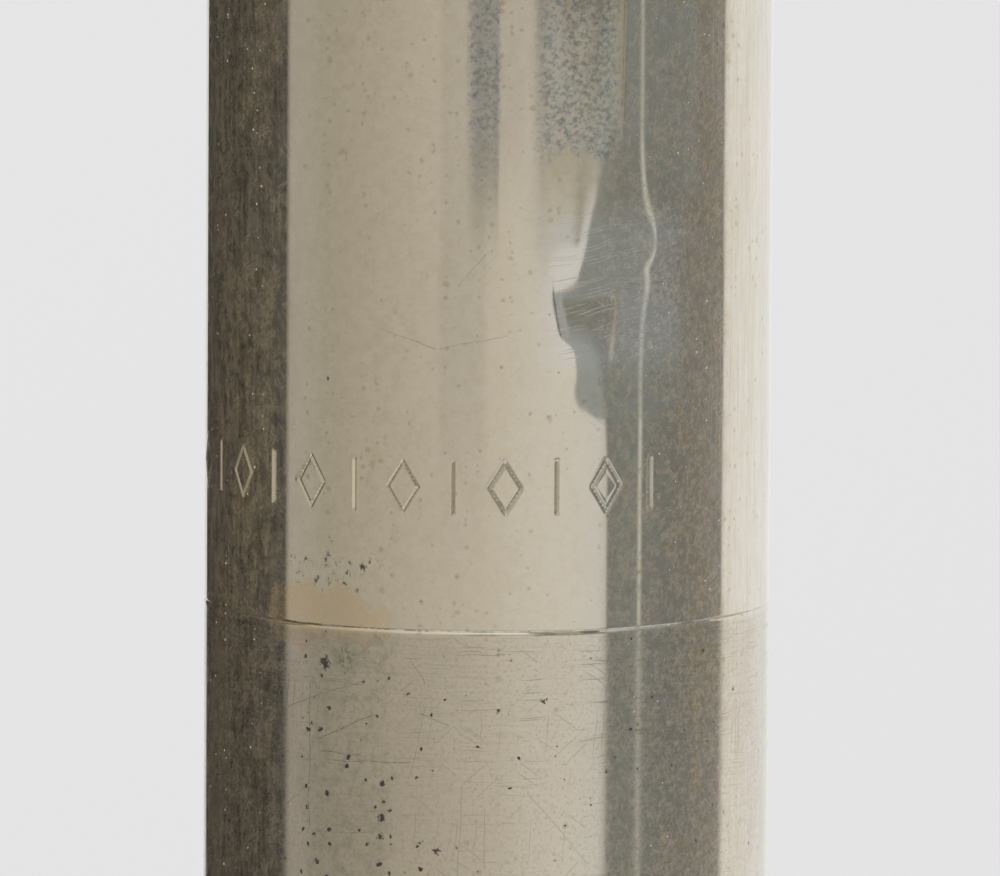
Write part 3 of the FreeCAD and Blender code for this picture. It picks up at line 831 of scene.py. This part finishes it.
def quill_silver():
    """Old polished silver: a thin brown film, specks of tarnish, pits and fine scratches, and the stretch
    below the ring worn dull by the steerer. It is built up from the metal outward: the tint is its colour,
    the haze the share of light it scatters, dirt and lines the marks that can be felt."""
    m = Maker(bpy.data.materials.new("quill_silver"))
    place = m.object_mm()
    x, y, height = m.split(place)
    across = m.vector_math("DOT_PRODUCT", place, on_cylinder(1.0, WORN_AZIMUTH + 90.0, 0.0))
    arc = m.less(m.math("ARCTAN2", x, m.times(y, -1.0)), math.radians(WORN_AZIMUTH))
    arc = m.times(arc, QUILL_R)
    flat = m.vector(arc, height)
    flat_soft = m.wander(flat, 0.5, 0.35)
    loose_arc, loose_height, _ = m.split(m.wander(m.wander(flat, 0.7, 2.2), 2.5, 0.8))
    below = m.band(height, RING_HEIGHT - 0.3, RING_HEIGHT, 1.0, 0.0)
    left = m.band(across, -9.0, -6.5, 1.0, 0.0)
    right = m.times(m.band(across, 4.6, 7.0), m.band(across, 8.9, 9.5, 1.0, 0.15))
    clouds = m.cloud(place, (0.24, 0.24, 0.13), detail=2.0, roughness=0.5)
    mottle = m.noise(place, scale=2.2, detail=6.0, roughness=0.72)
    grain = m.noise(place, scale=8.0, detail=4.0, roughness=0.7)

    # The metal: brown tarnish on the worn side's left, and painted sheen whitening it towards the right
    # edge
    m.tint = m.ramp(across, [(-10.5, TARNISHED), (-5.0, DULL), (2.5, POLISHED), (9.5, BRIGHT)])
    m.paint(OLIVE_SPECK, m.band(m.add(m.times(mottle, 0.6), m.times(grain, 0.4)), 0.38, 0.60, 0.22, 0.0))
    m.haze = m.add(m.band(mottle, 0.40, 0.60, 0.045, 0.105), m.band(grain, 0.40, 0.62, 0.0, 0.05))

    # Brown film on both flanks, with the streaks and the slanted strokes that show in it
    patches = m.cloud(place, (1.1, 1.1, 0.7), (4, 7, 2), detail=6.0)
    film = m.band(m.add(m.times(patches, 0.5), m.times(mottle, 0.35), m.times(clouds, 0.35)), 0.57, 0.70)
    film = m.times(film, m.band(grain, 0.3, 0.6, 0.3, 1.0), m.add(0.06, m.times(m.most(left, right), 0.8)))
    m.paint(GOLD_FILM, film, 0.75)
    m.fog(film, 0.15)
    streaks = m.cloud(place, (5.0, 5.0, 0.35), detail=4.0)
    m.fog(m.band(streaks, 0.42, 0.62), left, 0.075)
    slanted = m.cloud(m.turn(flat, (0, 0, -24)), (0.9, 7.0, 1.0), detail=4.0)
    m.fog(m.band(slanted, 0.44, 0.62), right, 0.07)
    gilt = m.times(m.most(m.hump(loose_arc, -10.6, -9.2, 0.9), m.hump(loose_arc, 9.3, 10.6, 0.6)), 0.55)
    gilt = m.times(gilt, m.band(patches, 0.36, 0.60))
    m.paint(GILT_FILM, gilt, 0.35)
    m.fog(gilt, 0.11)

    # Painted shade, greenish and brown, over the right flank's dark side; tan crumbs over it, and brown
    # streaks beyond it
    m.paint(GREEN_PAINTED_SHADE, m.hump(arc, DARK_SIDE[0], 7.6, 1.6), 0.30)
    m.paint(BROWN_PAINTED_SHADE, m.hump(arc, *DARK_SIDE, 0.3), 0.22)
    crumbs = m.cloud(place, (4.2, 4.2, 3.2), (3, 1, 6), roughness=0.75)
    crumbs = m.band(m.add(m.times(crumbs, 0.82), m.times(patches, 0.18)), 0.46, 0.57)
    crumbs = m.times(crumbs, m.hump(arc, *DARK_SIDE, 0.4), m.band(arc, 6.0, 8.5, 0.8, 1.0))
    m.paint(TAN_CRUMB, crumbs, 0.55)
    m.fog(crumbs, 0.22)
    beyond = m.band(arc, 10.6, 11.4)
    m.paint(BROWN_STREAK, beyond, m.band(m.add(streaks, m.times(below, 0.10)), 0.44, 0.62), 0.32)
    m.fog(m.band(arc, 11.0, 13.5), m.add(0.03, m.times(below, 0.14)))

    # Olive specks and patches, thicker in places
    crowd = m.cloud(place, (0.5, 0.5, 0.28), (1, 5, 9), detail=3.0, roughness=0.5)
    crowd = m.band(crowd, 0.40, 0.60, 0.45, 1.0)
    specks = m.spots(m.wander(place, 6.0, 0.14), 3.0, 2.0, m.times(crowd, 0.42), -0.06, 0.10)
    olive = m.band(m.cloud(place, (1.6, 1.6, 0.9), (9, 2, 4), roughness=0.75), 0.60, 0.68)
    olive = m.times(olive, m.most(m.hump(arc, -6.0, -2.2, 1.5), m.hump(arc, -9.1, -8.3, 0.4)), crowd)
    m.paint(OLIVE_SPECK, m.most(specks, olive), 0.45)

    # Brown stain just above the ring, and blue and sandy spots high on the right
    stain = m.times(
        m.hump(loose_height, RING_HEIGHT - 0.4, RING_HEIGHT + 1.1, 0.8),
        m.hump(loose_arc, -8.9, -4.8, 0.8),
        m.band(m.add(mottle, clouds), 0.75, 1.05, 0.5, 1.0),
    )
    m.paint(BROWN_STAIN, stain, 0.60)
    m.fog(stain, 0.13)
    spotted = m.times(m.band(loose_height, 90.2, 91.0), m.hump(arc, 2.4, 4.7, 0.9))
    spotted = m.most(spotted, m.times(m.band(height, 88.0, 93.0), m.hump(arc, -0.7, 0.3, 0.25), 0.8))
    blue = m.cloud(place, (4.4, 4.4, 4.8), (2, 8, 5), roughness=0.75)
    m.paint(BLUE_FILM, spotted, 0.30)
    m.paint(BLUE_SPOT, m.band(blue, 0.45, 0.58), spotted, 0.42)
    m.paint(BLUE_SPOT, m.band(blue, 0.58, 0.64), spotted, 0.5)
    sand = m.times(m.band(blue, 0.36, 0.45, 1.0, 0.0), spotted)
    m.paint(SAND, sand, 0.55)
    m.fog(sand, 0.10)
    blurred = m.times(m.band(height, 84.0, 88.0), m.hump(arc, 1.6, 5.0, 0.5))

    # The wear of the steerer below the ring
    uneven = m.add(mottle, clouds)
    m.paint(WORN, below, m.band(across, -9.0, 8.0, 0.40, 0.02), m.band(uneven, 0.7, 1.2, 0.7, 1.2))
    brushed = m.cloud(flat_soft, (0.35, 9.0, 1.0))
    brushing = m.times(below, m.band(height, 64.0, 71.0, 0.35, 1.0), m.band(clouds, 0.35, 0.6, 0.5, 1.0))
    m.paint(BRUSHED, brushing, m.band(brushed, 0.36, 0.54, 0.26, 0.0))
    m.paint(GRAINED, below, m.band(grain, 0.32, 0.50, 0.30, 0.0))
    m.fog(brushing, m.band(brushed, 0.44, 0.60), 0.05)
    m.paint(DULLED, below, m.hump(loose_arc, -7.2, -4.2, 0.9), m.band(mottle, 0.36, 0.56, 1.0, 0.25), 0.45)

    # Fine scratches, and a painted sheen beside the dent that holds some of them
    lines = m.gather(m.scratches, flat_soft, LEVEL_LINES)
    lines = m.times(lines, below, m.band(height, 63.0, 70.0, 0.45, 1.0))
    loose = m.gather(m.scratches, flat_soft, LOOSE_LINES)
    lines = m.most(lines, m.times(loose, m.add(0.25, m.times(below, 0.75))))
    m.paint(SCRATCH_SHADE, lines, below, 0.5)
    # Painted sheen: a whitish patch beside the dent, which also holds scratches
    rubbed = m.times(m.hump(height, 83.0, 87.5, 1.5), m.hump(arc, 3.0, 7.5, 1.5))
    m.paint(WHITE_PAINTED_SHEEN, rubbed, 0.35)
    m.fog(rubbed, m.band(brushed, 0.4, 0.6, 0.04, 0.10))
    flanks, edge = m.most(right, left), m.hump(arc, 10.0, 20.0, 0.5)
    for kinds, where in ((RUBBED_LINES, rubbed), (FLANK_LINES, flanks), (EDGE_LINES, edge)):
        lines = m.most(lines, m.times(m.gather(m.scratches, flat_soft, kinds), where))
    m.fog(lines, 0.13)

    # Pits, dark flecks, a green crust, the scratches that hold dirt, and painted shade along the ring's
    # groove
    pit_size = m.times(below, m.hump(arc, -7.4, -3.2, 2.5))
    pit_size = m.add(0.09, m.times(below, 0.10), m.times(pit_size, 0.16))
    dirt = m.spots(m.wander(place, 7.0, 0.2), 3.0, 6.0, pit_size, -0.01, 0.03)
    relief = m.add(m.times(grain, 0.10), m.times(brushed, below, 0.3), m.times(lines, -0.5))
    relief = m.add(relief, m.times(dirt, -6.0))
    flecks = m.times(
        m.hump(loose_height, 73.7, 74.6, 0.4),
        m.hump(loose_arc, -8.3, -5.0, 0.5),
        m.band(m.cloud(place, (3.6, 3.6, 2.6), roughness=0.75), 0.545, 0.61),
    )
    dirt = m.most(dirt, flecks)
    ragged = m.noise(place, scale=9.0, detail=4.0, roughness=0.7)
    torn = m.wander(flat, 4.5, 0.34)
    for pit in PITS:
        dirt = m.most(dirt, m.spot(torn, ragged, *pit))
    green = m.band(m.vector_math("DISTANCE", flat, (-5.65, 70.8, 0)), 0.25, 0.75, 1.0, 0.0)
    green = m.times(green, m.band(grain, 0.47, 0.56))
    m.paint(VERDIGRIS, green, 0.8)
    drawn = m.gather(m.scratch, flat_soft, SCRATCHES)
    dirt = m.most(dirt, m.times(drawn, m.band(grain, 0.40, 0.58, 0.15, 0.9)))
    # Painted shade on the upper wall of the scribed ring's groove, laid in the same black as the dirt
    groove = m.hump(height, RING_HEIGHT + 0.02, RING_HEIGHT + 0.06, 0.03)
    groove = m.times(groove, m.band(mottle, 0.40, 0.58, 0.05, 0.6), m.band(arc, -2.0, 2.0, 1.0, 0.55))
    m.paint(DIRT_AND_SHADE_BLACK, m.most(m.times(dirt, 0.95), groove))

    # White sparks of lint and bare metal on the flanks
    sparks = m.times(m.spots(place, 3.6, 6.0, 0.17, -0.02, 0.03), flanks)
    m.paint(SPARK, sparks)

    scattered = m.add(m.haze, dirt, m.times(sparks, 0.8), m.times(green, 0.5))
    metallic = m.math("SUBTRACT", 1.0, scattered, clamp=True)
    rough = m.add(0.022, m.times(grain, 0.012), m.times(m.haze, 0.07), m.times(below, 0.06))
    rough = m.add(rough, m.times(blurred, 0.10), m.times(lines, 0.12), m.times(dirt, 0.5))
    return m.metal(m.tint, metallic, rough, m.bump(relief, SILVER_RELIEF))


def lug_silver():
    """The same silver on the lugs, the extension and the plug, with tarnish gathered in the corners."""
    m = Maker(bpy.data.materials.new("lug_silver"))
    place = m.object_mm()
    soft = m.wander(place, 0.4, 0.5)
    clouds = m.noise(place, scale=0.16, detail=2.0)
    mottle = m.noise(place, scale=2.5, detail=3.0, roughness=0.6)
    patches = m.noise(place, scale=0.7, detail=3.0, roughness=0.6)
    grain = m.noise(place, scale=9.0, detail=2.0, roughness=0.6)
    corner = m.node("ShaderNodeAmbientOcclusion", samples=6)
    corner.inputs["Distance"].default_value = 3.0 * MM
    shut = m.band(corner.outputs["AO"], 0.35, 0.85, 1.0, 0.0)
    film = m.band(m.add(m.times(patches, 0.6), m.times(mottle, 0.3), m.times(clouds, 0.5)), 0.70, 0.84)
    film = m.most(m.times(film, 0.5), m.times(shut, m.band(patches, 0.3, 0.6, 0.5, 0.9)))
    specks = m.spots(m.wander(place, 3.0, 0.2), 1.5, 1.0, 0.26, -0.05, 0.08)
    pits = m.spots(place, 0.9, 8.0, 0.09, -0.01, 0.03)
    lines = m.gather(m.scratches_about, soft, LUG_LINES)
    m.tint = m.mix(m.band(clouds, 0.35, 0.68), BRIGHT, POLISHED)
    m.paint(GOLD_FILM, film, 0.7)
    m.paint(OLIVE_SPECK, specks, 0.35)
    m.paint(DIRT_AND_SHADE_BLACK, pits, 0.85)
    m.haze = m.band(mottle, 0.36, 0.66, 0.015, 0.10)
    m.fog(m.band(grain, 0.42, 0.72), 0.04)
    m.fog(film, 0.22)
    m.fog(lines, 0.14)
    metallic = m.math("SUBTRACT", 1.0, m.add(m.haze, m.times(pits, 0.8)), clamp=True)
    rough = m.add(0.09, m.times(grain, 0.03), m.times(m.haze, 0.2), m.times(lines, 0.15))
    relief = m.add(m.times(grain, 0.12), m.times(mottle, 0.2), m.times(lines, -0.6), m.times(pits, -6.0))
    return m.metal(m.tint, metallic, rough, m.bump(relief, SILVER_RELIEF))


def turned_steel(name, colour, roughness, axis_y, rust):
    """Plated steel with the fine rings of its turning about a vertical axis, rubbed bright in places."""
    m = Maker(bpy.data.materials.new(name))
    place = m.object_mm()
    x, y, z = m.split(place)
    from_axis = m.vector(x, m.less(y, axis_y), z)
    radius = m.vector_math("DISTANCE", m.vector_math("MULTIPLY", from_axis, (1, 1, 0)), (0, 0, 0))
    rings = m.noise(m.vector(m.times(radius, 7.0), m.times(z, 7.0)), detail=2.0)
    clouds = m.noise(place, scale=0.5, detail=3.0)
    grain = m.noise(place, scale=7.0, detail=3.0, roughness=0.65)
    lines = m.gather(m.scratches_about, place, STEEL_LINES)
    rusty = m.times(m.band(m.add(m.times(clouds, 0.6), m.times(grain, 0.4)), 0.54, 0.66), rust)
    dull = tuple(0.72 * c for c in colour)
    m.tint = m.mix(m.band(m.add(m.times(grain, 0.5), m.times(clouds, 0.5)), 0.4, 0.62), colour, dull)
    m.paint(RUST, rusty)
    metallic = m.math("SUBTRACT", 1.0, m.add(m.times(rusty, 0.7), m.times(lines, 0.1)), clamp=True)
    rough = m.add(roughness, m.times(grain, 0.10), m.times(rusty, 0.3), m.times(lines, 0.12))
    relief = m.add(m.times(rings, 0.9), m.times(grain, 0.5), m.times(lines, -0.6), m.times(rusty, 1.5))
    return m.metal(m.tint, metallic, rough, m.bump(relief, STEEL_RELIEF))


def dress(piece, material):
    piece.data.materials.clear()
    piece.data.materials.append(material)


def dress_nodes(names, material):
    for name in names:
        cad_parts[name].material_slots[0].material = material


NICKEL = (0.66, 0.63, 0.58)
DARK_STEEL = (0.27, 0.26, 0.25)
lugs = lug_silver()
dress(quill, quill_silver())
for line in solder:
    dress(line, lugs)
dress_nodes(["head_lug", "head_plug", "extension_tube", "bar_clamp"], lugs)
dress_nodes(["quill_pins", "extension_rear_pins", "extension_front_pins"], lugs)
head_nickel = turned_steel("expander_nickel", NICKEL, 0.16, 0.0, 0.35)
binder_nickel = turned_steel("binder_nickel", NICKEL, 0.16, BINDER_Y, 0.35)
dress(bolts[0], head_nickel)
dress(bolts[1], binder_nickel)
dress_nodes(["expander_washer"], head_nickel)
dress_nodes(["clamp_washer", "clamp_nut"], binder_nickel)
dress_nodes(["expander_cone", "cone_keys"], turned_steel("cone_steel", DARK_STEEL, 0.26, 0.0, 0.6))

# ---- the studio

scene = bpy.context.scene
scene.view_settings.view_transform = "Standard"
scene.view_settings.look = "None"


def make_camera():
    data = bpy.data.cameras.new("camera")
    camera = add_object("camera", data)
    data.lens = CAMERA_LENS
    data.sensor_width = 36.0
    data.clip_start, data.clip_end = 0.01, 100.0
    rise = math.radians(CAMERA_ELEVATION)
    back = Vector(on_cylinder(math.cos(rise), CAMERA_AZIMUTH, math.sin(rise)))
    right = Vector(on_cylinder(1.0, CAMERA_AZIMUTH + 90.0, 0.0))
    target = Vector((0, 0, TARGET_HEIGHT)) + right * TARGET_RIGHT
    look = (-back).to_track_quat("-Z", "Y").to_matrix().to_4x4()
    spin = Matrix.Rotation(math.radians(CAMERA_ROLL), 4, "Z")
    camera.matrix_world = Matrix.Translation((target + back * CAMERA_DISTANCE) * MM) @ look @ spin
    scene.camera = camera


# The light tent: what reflections see. Its bands run up the wall and in over the floor, and are given by
# direction, counted from the worn side: (angle, red, green, blue).
TENT_R = 210.0
TENT_TOP = 620.0
TENT_STEPS = 180
TENT_BANDS = [
    (-180, 0.8, 0.8, 0.8), (-161.4, 0.8, 0.8, 0.8), (-160.4, 0.03, 0.03, 0.03),
    (-100, 0.034, 0.034, 0.034), (-92, 0.045, 0.055, 0.066), (-87.8, 0.05, 0.062, 0.074),
    (-86.8, 0.58, 0.6, 0.67), (-78, 0.57, 0.58, 0.62), (-71, 0.53, 0.54, 0.54), (-62, 0.54, 0.545, 0.54),
    (-44, 0.62, 0.62, 0.605), (-27, 0.7, 0.7, 0.7), (-11, 0.765, 0.765, 0.765), (4, 0.83, 0.83, 0.82),
    (21, 0.92, 0.935, 0.96), (48, 0.97, 0.985, 1.01), (49, 0.31, 0.33, 0.325), (63, 0.31, 0.33, 0.325),
    (63.08, 1.2, 1.24, 1.18), (63.26, 1.2, 1.24, 1.18), (63.34, 0.29, 0.31, 0.305),
    (80, 0.25, 0.26, 0.255), (95, 0.255, 0.26, 0.255), (108.8, 0.31, 0.315, 0.315),
    (109.8, 1.0, 1.005, 1.02), (122, 1.05, 1.07, 1.1), (140, 1.05, 1.07, 1.1), (154, 0.96, 0.97, 0.98),
    (180, 0.9, 0.9, 0.9),
]
CLOTH_Y = -35.0
CLOTH_R = 95.0
CLOTH_EDGE = 8.0
CLOTH_COLOUR = (0.92, 1.02, 1.15)


def tent_material():
    m = Maker(bpy.data.materials.new("light_tent"))
    place = m.object_mm()
    right = m.vector_math("DOT_PRODUCT", place, on_cylinder(1.0, WORN_AZIMUTH + 90.0, 0.0))
    front = m.vector_math("DOT_PRODUCT", place, on_cylinder(1.0, WORN_AZIMUTH, 0.0))
    z = m.split(place)[2]
    angle = m.math("DEGREES", m.math("ARCTAN2", right, front))
    colour = m.ramp(angle, [(band[0], band[1:]) for band in TENT_BANDS], smooth=False)
    # the camera, a paler thing behind it that reaches lower, and a grey card hung to its right
    stand = m.times(m.band(angle, -10.0, -4.0), m.band(angle, 3.0, 4.8, 1.0, 0.0), m.band(z, 64.5, 72.0))
    post = m.times(m.hump(angle, -17.0, -3.0, 4.0), m.band(z, 47.0, 62.0))
    edge = m.noise(m.vector(m.times(angle, 0.25), m.times(z, 0.5)), detail=3.0)
    card = m.times(m.hump(angle, 21.0, 90.0, 4.0), m.band(m.add(z, m.times(edge, 3.0)), 68.8, 69.8))
    veil = m.times(m.hump(angle, 4.0, 90.0, 3.0), m.band(z, 66.0, 75.0))
    colour = m.mix(m.times(post, 0.12), colour, (0.05, 0.055, 0.06))
    colour = m.mix(m.times(stand, 0.56), colour, (0.22, 0.23, 0.23))
    colour = m.mix(m.times(veil, m.band(angle, 40.0, 49.0, 0.35, 0.0)), colour, (0.42, 0.38, 0.40))
    colour = m.mix(m.times(card, m.band(angle, 48.0, 50.0, 0.85, 0.35)), colour, (0.36, 0.42, 0.46))
    # paler overhead, and a floor lit less than the wall but for the cloth under the clamp
    colour = m.mix(m.band(z, 140.0, 420.0), colour, (1.45, 1.45, 1.45))
    colour = m.mix(m.band(z, FLOOR + 1.0, FLOOR + 4.0, 0.45, 0.0), colour, (0.25, 0.25, 0.25))
    cloth = m.vector_math("DISTANCE", place, (0, CLOTH_Y, FLOOR))
    cloth = m.band(cloth, CLOTH_R - CLOTH_EDGE, CLOTH_R + CLOTH_EDGE, 1.0, 0.0)
    colour = m.mix(cloth, colour, CLOTH_COLOUR)
    glow = m.node("ShaderNodeEmission", colour)
    m.node("ShaderNodeOutputMaterial", glow.outputs[0])
    return m.owner


def lay_under_cone(thing):
    """The stem stands on its expander cone, so what it stands on goes down with the cone."""
    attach(thing, "expander_plug")


def light_tent():
    """A round wall and floor that only reflections see."""
    points = [(0.0, 0.0, FLOOR + 0.02)]
    for k in range(TENT_STEPS):
        azimuth = 360.0 * k / TENT_STEPS
        points += [on_cylinder(TENT_R, azimuth, FLOOR + 0.02), on_cylinder(TENT_R, azimuth, TENT_TOP)]
    faces = []
    for k in range(TENT_STEPS):
        a, b = 2 * k + 1, 2 * ((k + 1) % TENT_STEPS) + 1
        faces += [(a, b, b + 1, a + 1), (0, b, a)]
    tent = add_mesh("light_tent", points, faces)
    tent.data.materials.append(tent_material())
    for rays in ("camera", "diffuse", "shadow", "transmission", "volume_scatter"):
        setattr(tent, "visible_" + rays, False)
    lay_under_cone(tent)


FLOOR_R = 30000.0


def floor():
    rim = [on_cylinder(FLOOR_R, 3.75 * k, FLOOR) for k in range(96)]
    ground = add_mesh("floor", rim, [list(range(96))])
    m = Maker(bpy.data.materials.new("floor"))
    fibres = m.noise(m.object_mm(), scale=0.8, detail=4.0)
    paper = m.mix(fibres, (0.80, 0.79, 0.80), (0.82, 0.815, 0.82))
    ground.data.materials.append(m.metal(paper, 0.0, 0.9, m.bump(fibres, 0.02)))
    lay_under_cone(ground)


HORIZON = 0.68
OVERHEAD = 0.84
SKY_COLOUR = (1.0, 1.0, 1.005)
KEY_POWER = 15.5
KEY_SIZE = 1.4
KEY_PLACE = (-0.5, 2.2, 2.2)


def lights():
    """A pale sky, dimmer at the horizon so that it meets the far floor, and one broad soft lamp."""
    world = bpy.data.worlds.new("studio")
    scene.world = world
    m = Maker(world)
    rise = m.split(m.node("ShaderNodeTexCoord").outputs["Generated"])[2]
    strength = m.band(rise, 0.02, 0.5, HORIZON, OVERHEAD, "LINEAR")
    sky = m.node("ShaderNodeBackground", SKY_COLOUR, strength)
    m.node("ShaderNodeOutputWorld", sky.outputs[0])
    data = bpy.data.lights.new("key", "AREA")
    data.shape = "DISK"
    data.size = KEY_SIZE
    data.energy = KEY_POWER
    key = add_object("key", data)
    key.location = KEY_PLACE
    key.rotation_euler = (Vector((0, 0, 0.05)) - key.location).to_track_quat("-Z", "Y").to_euler()


make_camera()
light_tent()
floor()
lights()
